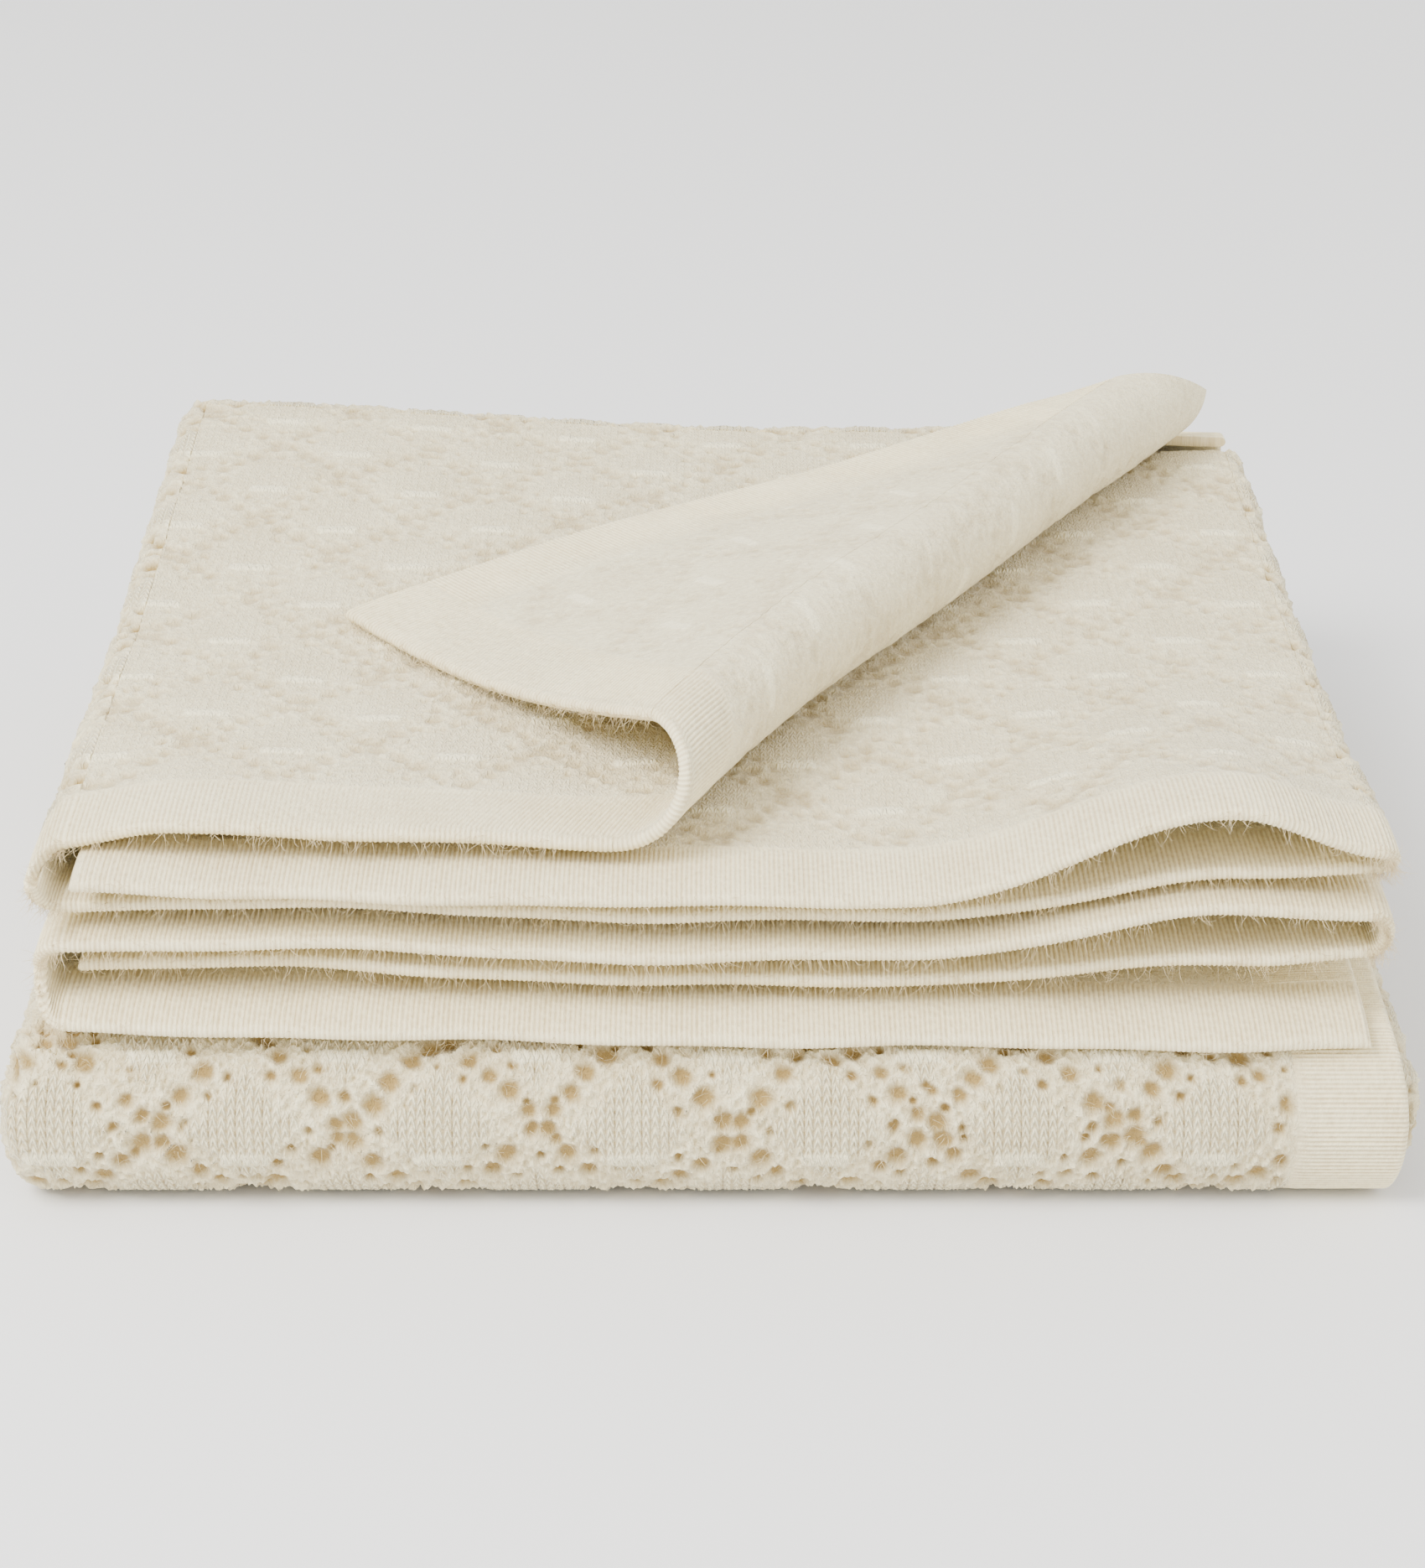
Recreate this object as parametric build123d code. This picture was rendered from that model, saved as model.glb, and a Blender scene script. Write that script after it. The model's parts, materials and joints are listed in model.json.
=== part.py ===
from build123d import *
import math
import os

# Cloth, in millimetres
sheet_thickness = 5.0  # knit with its pile, lying loose
layer_gap = 4.7  # air between two layers of the stack
border_width = 32.0  # rib border round the lace panel
joint_clearance = 0.3  # between solids that move apart

# Folded size
lower_width = 432.0  # the two quarters that meet in the front nose
upper_narrowing = 18.0  # the two quarters that lie on top are narrower by this much
folded_depth = 452.0

# Folds
left_fold_reach = 8.0  # how far a side fold bulges past its panels
right_fold_reach = 4.9
back_fold_step = 5.6  # each layer round the back fold stands this much further out
nose_fold_step = 8.0  # the same round the front nose
free_edge_inset = 7.0  # the outer third's free edge stops this far inside the width
tuck_gap = 3.0  # the tucked third's free edge stops this far short of the left fold

# How far each free end stops behind the front of the nose, from the top layer down
top_outer_setback = 32.0
top_inner_setback = 14.0
top_middle_setback = 23.0
second_middle_setback = 16.0
second_inner_setback = 22.0
second_outer_setback = 6.0

# Corner of the top layer, turned back over the stack
roll_radius = 15.5  # middle of the cloth round the turned roll
turn_start_from_edge = 245.0  # along the front edge, from the free corner to the roll
turn_angle = 61.0  # direction of the roll, from the front edge
tip_clearance = 0.6  # under the corner's tip

# Worked out from the sizes above
upper_width = lower_width - upper_narrowing
layer_pitch = sheet_thickness + layer_gap
layers = 12
half_sheet = sheet_thickness / 2
front_y = -folded_depth / 2
mid_layer = (layers - 1) / 2
nose_layer = 2.5
back_axis_y = folded_depth / 2 - half_sheet - mid_layer * back_fold_step
nose_axis_y = front_y + half_sheet + nose_layer * nose_fold_step


def layer_z(layer):
    """Height of the middle of a layer. Layer 0 lies on the table."""
    return half_sheet + layer * layer_pitch


back_axis_z = layer_z(mid_layer)


def slab(x_low, x_high, y_low, y_high, z_middle):
    """A flat stretch of cloth."""
    size = (x_high - x_low, y_high - y_low, sheet_thickness)
    centre = ((x_low + x_high) / 2, (y_low + y_high) / 2, z_middle)
    return Pos(*centre) * Box(*size)


def half_ring(reach, half_height, side):
    """Section of a fold: half of an oval ring of cloth. side is 1 or -1 along the sketch's x."""
    outside = Ellipse(reach + half_sheet, half_height + half_sheet)
    inside = Ellipse(reach - half_sheet, half_height - half_sheet)
    window = Pos(side * folded_depth / 2, 0) * Rectangle(folded_depth, folded_depth)
    return (outside - inside) & window


def fold_along_x(reach, half_height, side, x_low, x_high, y, z):
    """A fold that runs from left to right, as at the nose and the back."""
    plane = Plane(origin=(x_low, y, z), x_dir=(0, 1, 0), z_dir=(1, 0, 0))
    return extrude(plane * half_ring(reach, half_height, side), x_high - x_low)


def fold_along_y(reach, half_height, side, x, y_low, y_high, z):
    """A fold that runs from front to back, as down each side."""
    plane = Plane(origin=(x, y_high, z), x_dir=(1, 0, 0), z_dir=(0, -1, 0))
    return extrude(plane * half_ring(reach, half_height, side), y_high - y_low)


# The cloth is folded in thirds across, so each quarter of its length holds three layers:
# the middle third, the inner third tucked on it, and the outer third over both.
def side_lines(width):
    """Where the panels of one quarter end across the width."""
    lines = {}
    lines["left"] = -width / 2 + left_fold_reach + half_sheet
    lines["right"] = width / 2 - right_fold_reach - half_sheet
    lines["free_right"] = width / 2 - free_edge_inset
    lines["free_left"] = lines["left"] + tuck_gap
    return lines


upper_lines = side_lines(upper_width)
lower_lines = side_lines(lower_width)
top_outer_y = front_y + top_outer_setback

# Frame of the turned corner: along the roll, and outwards to where the corner came from
along = Vector(math.cos(math.radians(turn_angle)), math.sin(math.radians(turn_angle)), 0)
outward = Vector(along.Y, -along.X, 0)
roll_start = Vector(upper_lines["free_right"] - turn_start_from_edge, top_outer_y, 0)
top_z = layer_z(layers - 1)
roll_axis_z = top_z + roll_radius
corner_along = turn_start_from_edge * along.X
corner_reach = turn_start_from_edge * outward.X
flap_drop = 2 * roll_radius - sheet_thickness - tip_clearance
flap_slope = math.asin(flap_drop / (corner_reach - math.pi * roll_radius))
roll_turn = math.pi + flap_slope  # the cloth turns this far before it lies straight again
flap_reach = corner_reach - roll_turn * roll_radius

parts = {}


def add_panels(quarter, base, step, lines, ends, rear_y):
    """The three thirds of one quarter of the length, their borders and their side folds."""
    for place, third in enumerate(("middle", "inner", "outer")):
        z = layer_z(base + step * place)
        x_low = lines["free_left"] if third == "inner" else lines["left"]
        x_high = lines["free_right"] if third == "outer" else lines["right"]
        y_low = ends[third]
        if quarter in ("top", "second"):
            parts[f"{quarter}_{third}_end_border"] = slab(x_low, x_high, y_low, y_low + border_width, z)
            y_low = y_low + border_width
        if third == "inner":
            parts[f"{quarter}_inner_side_border"] = slab(x_low, x_low + border_width, y_low, rear_y, z)
            x_low = x_low + border_width
        if third == "outer":
            parts[f"{quarter}_outer_side_border"] = slab(x_high - border_width, x_high, y_low, rear_y, z)
            x_high = x_high - border_width
        parts[f"{quarter}_{third}_third"] = slab(x_low, x_high, y_low, rear_y, z)
    fold_front = max(ends.values())
    left_z = layer_z(base + step)
    right_z = layer_z(base + step / 2)
    parts[f"{quarter}_left_fold"] = fold_along_y(
        left_fold_reach, layer_pitch, -1, lines["left"], fold_front, rear_y, left_z
    )
    parts[f"{quarter}_right_fold"] = fold_along_y(
        right_fold_reach, layer_pitch / 2, 1, lines["right"], fold_front, rear_y, right_z
    )


def add_nose():
    """The front fold: outer third outside, middle third inside."""
    for place, third in enumerate(("middle", "inner", "outer")):
        radius = 0.5 + place
        x_low = lower_lines["free_left"] if third == "inner" else lower_lines["left"]
        x_high = lower_lines["free_right"] if third == "outer" else lower_lines["right"]
        parts[f"nose_{third}_fold"] = fold_along_x(
            radius * nose_fold_step,
            radius * layer_pitch,
            -1,
            x_low,
            x_high,
            nose_axis_y,
            layer_z(nose_layer),
        )


def add_back_folds():
    """Two nested folds at the back: three layers of each, all round one axis."""
    for place, third in enumerate(("middle", "inner", "outer")):
        for nest, radius in (("wide", 3.5 + place), ("tight", 2.5 - place)):
            parts[f"back_{nest}_{third}_fold"] = fold_along_x(
                radius * back_fold_step,
                radius * layer_pitch,
                1,
                upper_lines["free_left"] if third == "inner" else upper_lines["left"],
                upper_lines["right"],
                back_axis_y,
                back_axis_z,
            )


def turn_corner_back():
    """Cuts the front right corner off the top layer and lays it back over a roll."""
    far = folded_depth * 2
    start = roll_start + Vector(0, 0, top_z)
    cut_plane = Plane(origin=start, x_dir=outward, z_dir=(0, 0, 1))
    kept_side = extrude(cut_plane * (Pos(-far / 2, 0) * Rectangle(far, far)), far, both=True)
    for name in ("top_outer_end_border", "top_outer_third"):
        parts[name] = parts[name] & kept_side
    del parts["top_outer_side_border"]

    # The roll, trimmed to the front edge and to the back axis
    roll_plane = Plane(
        origin=roll_start + along * far / 2 + Vector(0, 0, roll_axis_z), x_dir=outward, z_dir=-along
    )
    roll = extrude(roll_plane * half_ring(roll_radius, roll_radius, 1), far)
    roll_rear_y = back_axis_y - joint_clearance
    trim_size = (far, roll_rear_y - top_outer_y, far)
    trim = Pos(0, (roll_rear_y + top_outer_y) / 2, roll_axis_z) * Box(*trim_size)
    parts["corner_roll"] = roll & trim

    # The flap: a triangle that falls from the top of the roll to its tip.
    # Sketch x runs back from the roll, sketch y along it.
    fall = Vector(-outward.X, -outward.Y, -math.tan(flap_slope)).normalized()
    off_roll = outward * roll_radius * math.sin(flap_slope)
    flap_height = roll_axis_z + roll_radius * math.cos(flap_slope)
    flap_origin = roll_start - off_roll + Vector(0, 0, flap_height)
    flap_plane = Plane(origin=flap_origin, x_dir=fall, z_dir=fall.cross(along))
    front_start = (roll_turn * roll_radius + joint_clearance) * along.X / outward.X
    rear_start = corner_along + (flap_reach - joint_clearance) * along.Y / along.X
    front_corner = Vector(joint_clearance, front_start)
    tip = Vector(flap_reach, corner_along)
    rear_corner = Vector(joint_clearance, rear_start)
    outline = Polygon(front_corner, tip, rear_corner, align=None)
    front_strip = edge_strip(front_corner, tip)
    side_strip = edge_strip(tip, rear_corner)
    pieces = {}
    pieces["flap_end_border"] = outline & front_strip
    pieces["flap_side_border"] = (outline & side_strip) - front_strip
    pieces["flap_lace"] = outline - front_strip - side_strip
    for name, sketch in pieces.items():
        parts[name] = extrude(flap_plane * sketch, half_sheet, both=True)


def edge_strip(first, second):
    """A strip of border width along the line from first to second, on its left-hand side."""
    run = (second - first).normalized()
    angle = math.degrees(math.atan2(run.Y, run.X))
    middle = first + Vector(-run.Y, run.X) * border_width / 2
    return Pos(middle.X, middle.Y) * Rot(0, 0, angle) * Rectangle(4 * folded_depth, border_width)


top_ends = {
    "middle": front_y + top_middle_setback,
    "inner": front_y + top_inner_setback,
    "outer": top_outer_y,
}
second_ends = {
    "middle": front_y + second_middle_setback,
    "inner": front_y + second_inner_setback,
    "outer": front_y + second_outer_setback,
}
nose_ends = {"middle": nose_axis_y, "inner": nose_axis_y, "outer": nose_axis_y}
upper_rear_y = back_axis_y - joint_clearance
add_panels("top", 9, 1, upper_lines, top_ends, upper_rear_y)
add_panels("second", 8, -1, upper_lines, second_ends, upper_rear_y)
add_panels("third", 3, 1, lower_lines, nose_ends, back_axis_y)
add_panels("bottom", 2, -1, lower_lines, nose_ends, back_axis_y)
add_nose()
add_back_folds()
turn_corner_back()

os.makedirs("parts", exist_ok=True)
for name, solid in parts.items():
    solid.label = name
    export_step(solid, f"parts/{name}.step")

print("back axis y, z", back_axis_y, back_axis_z)
print("roll start", tuple(roll_start), "axis z", roll_axis_z, "along", tuple(along))
print("flap slope, degrees", math.degrees(flap_slope), "reach", flap_reach)
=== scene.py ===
import math
import random

import bmesh
import bpy
import numpy as np
from mathutils import Matrix, Vector
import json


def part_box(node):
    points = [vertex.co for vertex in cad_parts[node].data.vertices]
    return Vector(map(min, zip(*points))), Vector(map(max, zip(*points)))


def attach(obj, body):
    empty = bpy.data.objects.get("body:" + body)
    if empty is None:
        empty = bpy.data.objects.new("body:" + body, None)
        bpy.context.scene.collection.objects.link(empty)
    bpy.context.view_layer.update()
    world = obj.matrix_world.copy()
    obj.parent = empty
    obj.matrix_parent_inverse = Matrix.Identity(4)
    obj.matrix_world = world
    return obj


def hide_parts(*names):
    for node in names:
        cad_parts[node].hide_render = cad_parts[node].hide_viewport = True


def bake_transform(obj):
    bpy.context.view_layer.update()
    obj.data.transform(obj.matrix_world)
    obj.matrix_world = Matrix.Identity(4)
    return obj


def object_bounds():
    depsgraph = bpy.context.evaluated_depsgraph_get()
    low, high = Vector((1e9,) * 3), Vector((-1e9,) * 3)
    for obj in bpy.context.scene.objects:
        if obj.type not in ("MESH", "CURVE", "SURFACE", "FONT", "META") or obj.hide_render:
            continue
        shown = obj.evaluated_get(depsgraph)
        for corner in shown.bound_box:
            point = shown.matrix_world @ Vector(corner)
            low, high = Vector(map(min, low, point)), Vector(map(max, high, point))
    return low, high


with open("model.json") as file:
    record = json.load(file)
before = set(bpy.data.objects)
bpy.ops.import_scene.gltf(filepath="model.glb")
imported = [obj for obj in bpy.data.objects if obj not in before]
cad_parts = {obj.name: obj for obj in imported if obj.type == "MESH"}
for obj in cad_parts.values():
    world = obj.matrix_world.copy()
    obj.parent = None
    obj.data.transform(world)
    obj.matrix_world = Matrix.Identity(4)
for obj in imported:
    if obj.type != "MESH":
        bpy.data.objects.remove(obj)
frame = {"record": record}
cad_low, cad_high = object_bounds()

# ---- Camera -----------------------------------------------------------------------------------
# A long lens in front of the stack, looking down on it.
camera_data = bpy.data.cameras.new("camera")
camera_data.lens = 94.8
camera_data.sensor_width = 36.0
camera = bpy.data.objects.new("camera", camera_data)
camera.location = (0.0, -1.336, 0.6265)
camera_look_down = 23.5
camera.rotation_euler = (math.radians(90.0 - camera_look_down), 0.0, 0.0)
bpy.context.scene.collection.objects.link(camera)
bpy.context.scene.camera = camera

# ---- Lace panel: how it is folded -------------------------------------------------------------
# One piece of pointelle knit, 1.3 by 1.8 metres with its borders. It is folded in thirds across,
# then in half and in half again along its length, so a quarter of its length holds three layers.
detail = 1.0
thickness = 0.0041
panel_lines = {}
course_heights = {}


def low(node):
    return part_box(node)[0]


def high(node):
    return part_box(node)[1]


def middle_height(node):
    return (low(node)[2] + high(node)[2]) / 2


for course in ("top", "second", "third", "bottom"):
    edge_node = "second_outer_side_border" if course == "top" else f"{course}_outer_side_border"
    panel_lines[course] = {
        "left": low(f"{course}_middle_third")[0],
        "right": high(f"{course}_middle_third")[0],
        "free_right": high(edge_node)[0],
        "free_left": low(f"{course}_inner_side_border")[0],
        "left_reach": low(f"{course}_left_fold")[0] + thickness / 2,
        "right_reach": high(f"{course}_right_fold")[0] - thickness / 2,
    }
    course_heights[course] = [middle_height(f"{course}_{t}_third") for t in ("middle", "inner", "outer")]

cad_sheet = high("bottom_outer_third")[2] - low("bottom_outer_third")[2]
layer_step = course_heights["bottom"][0] - course_heights["bottom"][1]
nose_y = high("nose_outer_fold")[1]
nose_z = middle_height("nose_outer_fold")
nose_reach = nose_y - low("nose_outer_fold")[1] - cad_sheet / 2
back_y = low("back_wide_outer_fold")[1]
back_z = middle_height("back_wide_outer_fold")
back_reach = high("back_wide_outer_fold")[1] - back_y - cad_sheet / 2
border = high("second_outer_end_border")[1] - low("second_outer_end_border")[1]
top_ends = [low(f"top_{t}_end_border")[1] for t in ("middle", "inner", "outer")]
second_ends = [low(f"second_{t}_end_border")[1] for t in ("middle", "inner", "outer")]

# Flat width of each stretch across the throw, starting from the outer third's free edge
sections = ("outer", "left_fold", "middle", "right_fold", "inner")
flat_widths = {"outer": 0.398, "left_fold": 0.030, "middle": 0.405, "right_fold": 0.022, "inner": 0.411}
flat_starts = {}
flat_total = 0.0
for part in sections:
    flat_starts[part] = flat_total
    flat_total += flat_widths[part]

# Flat length of each stretch along the throw, starting from the end that lies on top
courses = ("top", "back_wide", "bottom", "nose", "third", "back_tight", "second")
flat_lengths = {
    "top": back_y - top_ends[2],
    "back_wide": 0.142,
    "bottom": back_y - nose_y,
    "nose": 0.078,
    "third": back_y - nose_y,
    "back_tight": 0.078,
    "second": back_y - second_ends[2],
}


# Layers from the centre of each fold to its outermost layer
nose_ranks = 2.5
back_ranks = 5.5
tight_ranks = 2.5


def nose_rank(third):
    """How many layers a third lies from the centre of the nose."""
    return 0.5 + third


def back_rank(course, third):
    """How many layers a third lies from the centre of the back folds."""
    return 3.5 + third if course == "back_wide" else tight_ranks - third


def flat_run(course, third):
    """Flat length of a course at one third. Inside a fold, a third takes less cloth."""
    if course == "nose":
        return flat_lengths[course] * nose_rank(third) / nose_ranks
    if course == "back_wide":
        return flat_lengths[course] * back_rank(course, third) / back_ranks
    if course == "back_tight":
        return flat_lengths[course] * back_rank(course, third) / tight_ranks
    return flat_lengths[course] + 0 * third


flat_rows = {}
flat_length = 0.0
for course in courses:
    flat_rows[course] = flat_length
    flat_length += flat_run(course, 2.0)

# How far each layer stands above or below its even place at the front: (x, lift), in metres.
# Each course has a list for its middle, inner and outer thirds.
swell = {
    "top": [
        [(-0.20, 0.004), (-0.15, 0.0055), (-0.01, 0.0005), (0.06, 0.0005), (0.16, 0.015), (0.203, 0.017)],
        [(-0.20, 0.006), (-0.14, 0.003), (-0.01, 0.0005), (0.06, 0.001), (0.158, 0.030), (0.203, 0.017)],
        [(-0.205, 0.001), (-0.165, 0.0080), (-0.11, 0.0055), (-0.03, 0.0015), (0.16, 0.030)],
    ],
    "second": [
        [(-0.20, 0.004), (-0.14, 0.0048), (-0.01, 0.000), (0.06, 0.001), (0.155, 0.016), (0.203, 0.014)],
        [(-0.20, 0.004), (-0.14, 0.005), (-0.01, -0.0016), (0.06, -0.001), (0.163, 0.006), (0.203, 0.009)],
        [(-0.20, 0.003), (-0.14, 0.002), (-0.01, -0.001), (0.163, -0.0025)],
    ],
}
end_droop = {"top": (0.001, 0.002, 0.002), "second": (0.0015, 0.001, 0.0045)}
swell_depth = 0.125
right_edge_slack = 0.0022
cloth_wander = 0.0007


def ease(x, points):
    """A smooth line through a few (x, value) points, level at each."""
    xs = [p[0] for p in points]
    values = np.array([p[1] for p in points])
    place = np.clip(np.searchsorted(xs, x) - 1, 0, len(xs) - 2)
    left = np.array(xs)[place]
    right = np.array(xs)[place + 1]
    t = np.clip((x - left) / (right - left), 0.0, 1.0)
    t = t * t * (3 - 2 * t)
    return values[place] * (1 - t) + values[place + 1] * t


def across(lines, part, a):
    """x and third (0 middle, 1 inner, 2 outer) at the share a of a stretch across the throw."""
    turn = math.pi * a
    if part == "outer":
        return lines["free_right"] + (lines["left"] - lines["free_right"]) * a, 2.0 + 0 * a
    if part == "left_fold":
        reach = lines["left"] - lines["left_reach"]
        return lines["left"] - reach * np.sin(turn) ** 0.8, 1.0 + np.cos(turn)
    if part == "middle":
        return lines["left"] + (lines["right"] - lines["left"]) * a, 0 * a
    if part == "right_fold":
        reach = lines["right_reach"] - lines["right"]
        return lines["right"] + reach * np.sin(turn) ** 0.9, 0.5 - 0.5 * np.cos(turn)
    return lines["right"] + (lines["free_left"] - lines["right"]) * a, 1.0 + 0 * a


def between_thirds(values, third):
    """A value given for the middle, inner and outer thirds, at any place between them."""
    lower = values[0] + (values[1] - values[0]) * np.clip(third, 0, 1)
    return lower + (values[2] - values[1]) * np.clip(third - 1, 0, 1)


def end_line(course, x, third):
    """Where the free end of a layer lies, front to back."""
    ends = top_ends if course == "top" else second_ends
    wander = 0.0011 * np.sin(x * 46 + third * 2.1) + 0.0007 * np.sin(x * 97 + third)
    return between_thirds(ends, third) + wander


def soft_step(low_edge, high_edge, value):
    t = np.clip((value - low_edge) / (high_edge - low_edge), 0, 1)
    return t * t * (3 - 2 * t)


back_left_lift = {"top": 0.0115, "back_wide": 0.0115, "second": 0.005, "back_tight": 0.005}


def back_lift(course, x, y):
    """The upper half stands a little proud at its back left corner."""
    return back_left_lift[course] * soft_step(0.03, -0.21, x) * soft_step(-0.05, 0.2, y)


def height(course, x, y, third):
    """Height of the middle of the cloth in one of the four flat courses."""
    z = between_thirds(course_heights[course], third)
    if course == "top":
        tucked = soft_step(1.3, 1.0, third)
        z = z + right_edge_slack * soft_step(0.13, 0.20, x) * soft_step(0.08, 0.19, y) * tucked
    if course in swell:
        lift = between_thirds([ease(x, line) for line in swell[course]], third)
        z = z + lift * np.exp(-(((y - cad_low[1]) / swell_depth) ** 2))
        near_end = np.exp(-np.clip(y - end_line(course, x, third), 0, 1) / 0.010)
        z = z - between_thirds(end_droop[course], third) * near_end + back_lift(course, x, y)
    slow = np.sin(x * 31 + y * 17 + third * 1.3) + 0.6 * np.sin(x * 53 - y * 39 + 2.0)
    inside = np.clip((back_y - y) / 0.05, 0, 1) * np.clip((y - nose_y) / 0.05, 0, 1)
    return z + cloth_wander * slow * inside


def lay(course, part, a, b):
    """Middle of the folded cloth at share a of a stretch across and share b of a course along."""
    if course in panel_lines:
        lines = panel_lines[course]
        x, third = across(lines, part, a)
        if course in ("top", "second"):
            start = end_line(course, x, third)
        else:
            start = nose_y + 0 * x
        forwards = b if course in ("top", "third") else 1 - b
        y = start + (back_y - start) * forwards
        return np.stack([x, y, height(course, x, y, third)], -1)
    turn = math.pi * (b - 0.5)
    if course == "nose":
        x, third = across(panel_lines["third"], part, a)
        rank = nose_rank(third) / nose_ranks
        depth = nose_reach * rank
        rise = nose_rank(third) * layer_step
        x = x * (1 + 0.016 * np.cos(turn) ** 2 * rank)
        y = nose_y - depth * np.cos(turn) ** 0.75
        return np.stack([x, y, nose_z + rise * np.sin(turn)], -1)
    if course == "back_wide":
        turn = -turn
    upper_x, third = across(panel_lines["top"], part, a)
    lower_x, third = across(panel_lines["third"], part, a)
    up = (1 + np.sin(turn)) / 2
    rank = back_rank(course, third)
    x = lower_x + (upper_x - lower_x) * up
    y = back_y + back_reach * rank / back_ranks * np.cos(turn) ** 0.85
    z = back_z + rank * layer_step * np.sin(turn) + back_lift(course, x, y) * up**2
    slack = right_edge_slack * (soft_step(0.14, 0.20, x) * soft_step(1.5, 2.0, third) * up**3)
    if course == "back_tight":
        slack = 0
    return np.stack([x, y, z - slack], -1)


# ---- Lace panel: its stitches -----------------------------------------------------------------
# Diamonds of plain stitches with rows of open eyelets between them and a raised row of purl in
# each. The whole is brushed, so the strands between the eyelets are soft and uneven.
diamond_width = 0.056
diamond_length = 0.069
eyelets_a_side = 5
eyelet_radius = 0.0029
small_eyelet_radius = 0.0016
wale = 0.0026
stitch_row = 0.0034
rib_pitch = 0.00155
millimetre = 0.001
seam_angle = 62.0
brushed_relief = 0.45


def scatter(i, j, key):
    """An even random number from 0 to 1 for each pair of whole numbers."""
    value = np.sin(i * 127.1 + j * 311.7 + key * 74.7) * 43758.5453
    return value - np.floor(value)


wool_waves = []
wave_dice = random.Random(7)
for _ in range(14):
    length = wave_dice.uniform(0.0016, 0.0075)
    direction = wave_dice.uniform(0, math.tau)
    wool_waves.append((math.cos(direction) / length, math.sin(direction) / length, wave_dice.uniform(0, 9)))


def wool(u, v):
    """Soft unevenness of brushed wool, about -1 to 1."""
    total = 0
    for along_u, along_v, phase in wool_waves:
        total = total + np.sin(math.tau * (u * along_u + v * along_v) + phase)
    return total / 4.5


def eyelets(u, v):
    """How deep in an eyelet each place is, 0 to 1."""
    p = u / diamond_width + 0.03 * np.sin(v * 60)
    q = v / diamond_length + 0.03 * np.sin(u * 70)
    depth = 0 * u
    u = u + 0.0011 * wool(u * 0.55, v * 0.55)
    v = v + 0.0013 * wool(v * 0.45 + 0.1, u * 0.6)
    for key, line, run in ((0, p + q, p - q), (1, p - q, p + q)):
        for shift, radius, odds in (
            (0.5, eyelet_radius, 0.06),
            (0.33, small_eyelet_radius, 0.45),
            (0.67, small_eyelet_radius, 0.45),
        ):
            n = np.floor(line)
            offset = 0.5 if shift == 0.5 else 0.0
            k = np.floor(run * eyelets_a_side + offset)
            off_line = line - n - shift + 0.05 * (scatter(n, k, key + 3 + shift) - 0.5)
            off_run = (run * eyelets_a_side + offset - k - 0.5) / eyelets_a_side
            off_run = off_run + 0.07 * (scatter(n, k, key + 8 + shift) - 0.5)
            across_u = diamond_width * (off_line + off_run) / 2
            along_v = diamond_length * (off_line - off_run) / 2
            size = radius * (0.75 + 0.5 * scatter(n, k, key + 5 + shift))
            hole = np.exp(-((across_u**2 + along_v**2 * 0.8) / size**2) ** 1.6)
            depth = np.maximum(depth, hole * (scatter(n, k, key + 12 + shift) > odds))
    return depth


def lace(u, v, relief):
    """Height of the lace's face in metres, its tone and how plain its stitches are. The tone holds
    painted shade and highlight: about 0 in an eyelet (painted shade), darker between stitches, and 1 on
    raised stitches, lighter still on the purl row (painted highlight). relief is 1 where the cloth is
    open and less where it is brushed."""
    p = u / diamond_width
    q = v / diamond_length
    off_a = p + q - np.round(p + q)
    off_b = p - q - np.round(p - q)
    patch = 1 - soft_step(0.22, 0.36, np.maximum(abs(off_a), abs(off_b)) + 0.03 * wool(u * 0.5, v * 0.5))
    x = diamond_width * (off_a + off_b) / 2
    y = diamond_length * (off_a - off_b) / 2
    holes = eyelets(u, v) * (1 - patch)
    strands = 1 - np.minimum(abs(wool(u * 0.6, v * 0.6)) * 1.6, 1)
    leg = abs(u / wale - np.floor(u / wale) - 0.5)
    stitches = 1 - (3.3 * (leg - 0.2)) ** 2 + 0.7 * np.sin(math.tau * (v / stitch_row + 2 * leg)) - 0.6
    stitches = stitches * soft_step(0.5, 0.9, relief)
    purl = (1 - soft_step(0.0058, 0.0075, abs(x))) * (1 - soft_step(0.0013, 0.0029, abs(y + 0.0105)))
    lobes = 0.65 + 0.35 * np.cos(math.tau * u / wale)
    rise = relief * (-2.8 * holes + patch * (0.45 * stitches + 0.35)) + 1.1 * purl * lobes
    mess = (0.55 * wool(u, v) + 1.1 * strands - 0.5) * (1 - 0.75 * patch) * (1 - holes)
    rise = rise + (0.35 + 0.65 * relief) * mess
    # Painted shade: the tone darkens in the eyelets and between raised stitches, and a painted highlight
    # lightens the purl row; the brushed strands add uneven tone.
    tone_and_shading = 0.70 - relief * (0.80 * holes - 0.18 * stitches * patch) + 0.80 * purl
    tone_and_shading = tone_and_shading + 0.22 * (strands - 0.4) * (1 - patch) * (1 - holes)
    end_near = np.minimum(v - border, flat_length - border - v)
    side_near = np.minimum(u - border, flat_total - border - u)
    fade = soft_step(0, 0.004, np.minimum(end_near, side_near))
    plain = np.maximum(patch * (1.3 * relief - 0.3), 0.55 * purl)
    return rise * millimetre * fade, 0.8 + (tone_and_shading - 0.8) * (0.3 + 0.7 * fade), plain


def ribs(c, to_lace):
    """Height of the rib's face across its ribs, and its tone, with painted shade in the grooves."""
    ridge = np.cos(math.tau * c / rib_pitch)
    fade = soft_step(0, 0.003, to_lace)
    # Painted shade in the grooves between ribs and painted light on the ridges, fading towards the lace
    return 0.27 * millimetre * ridge * fade, 0.78 + 0.28 * ridge * fade


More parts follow.
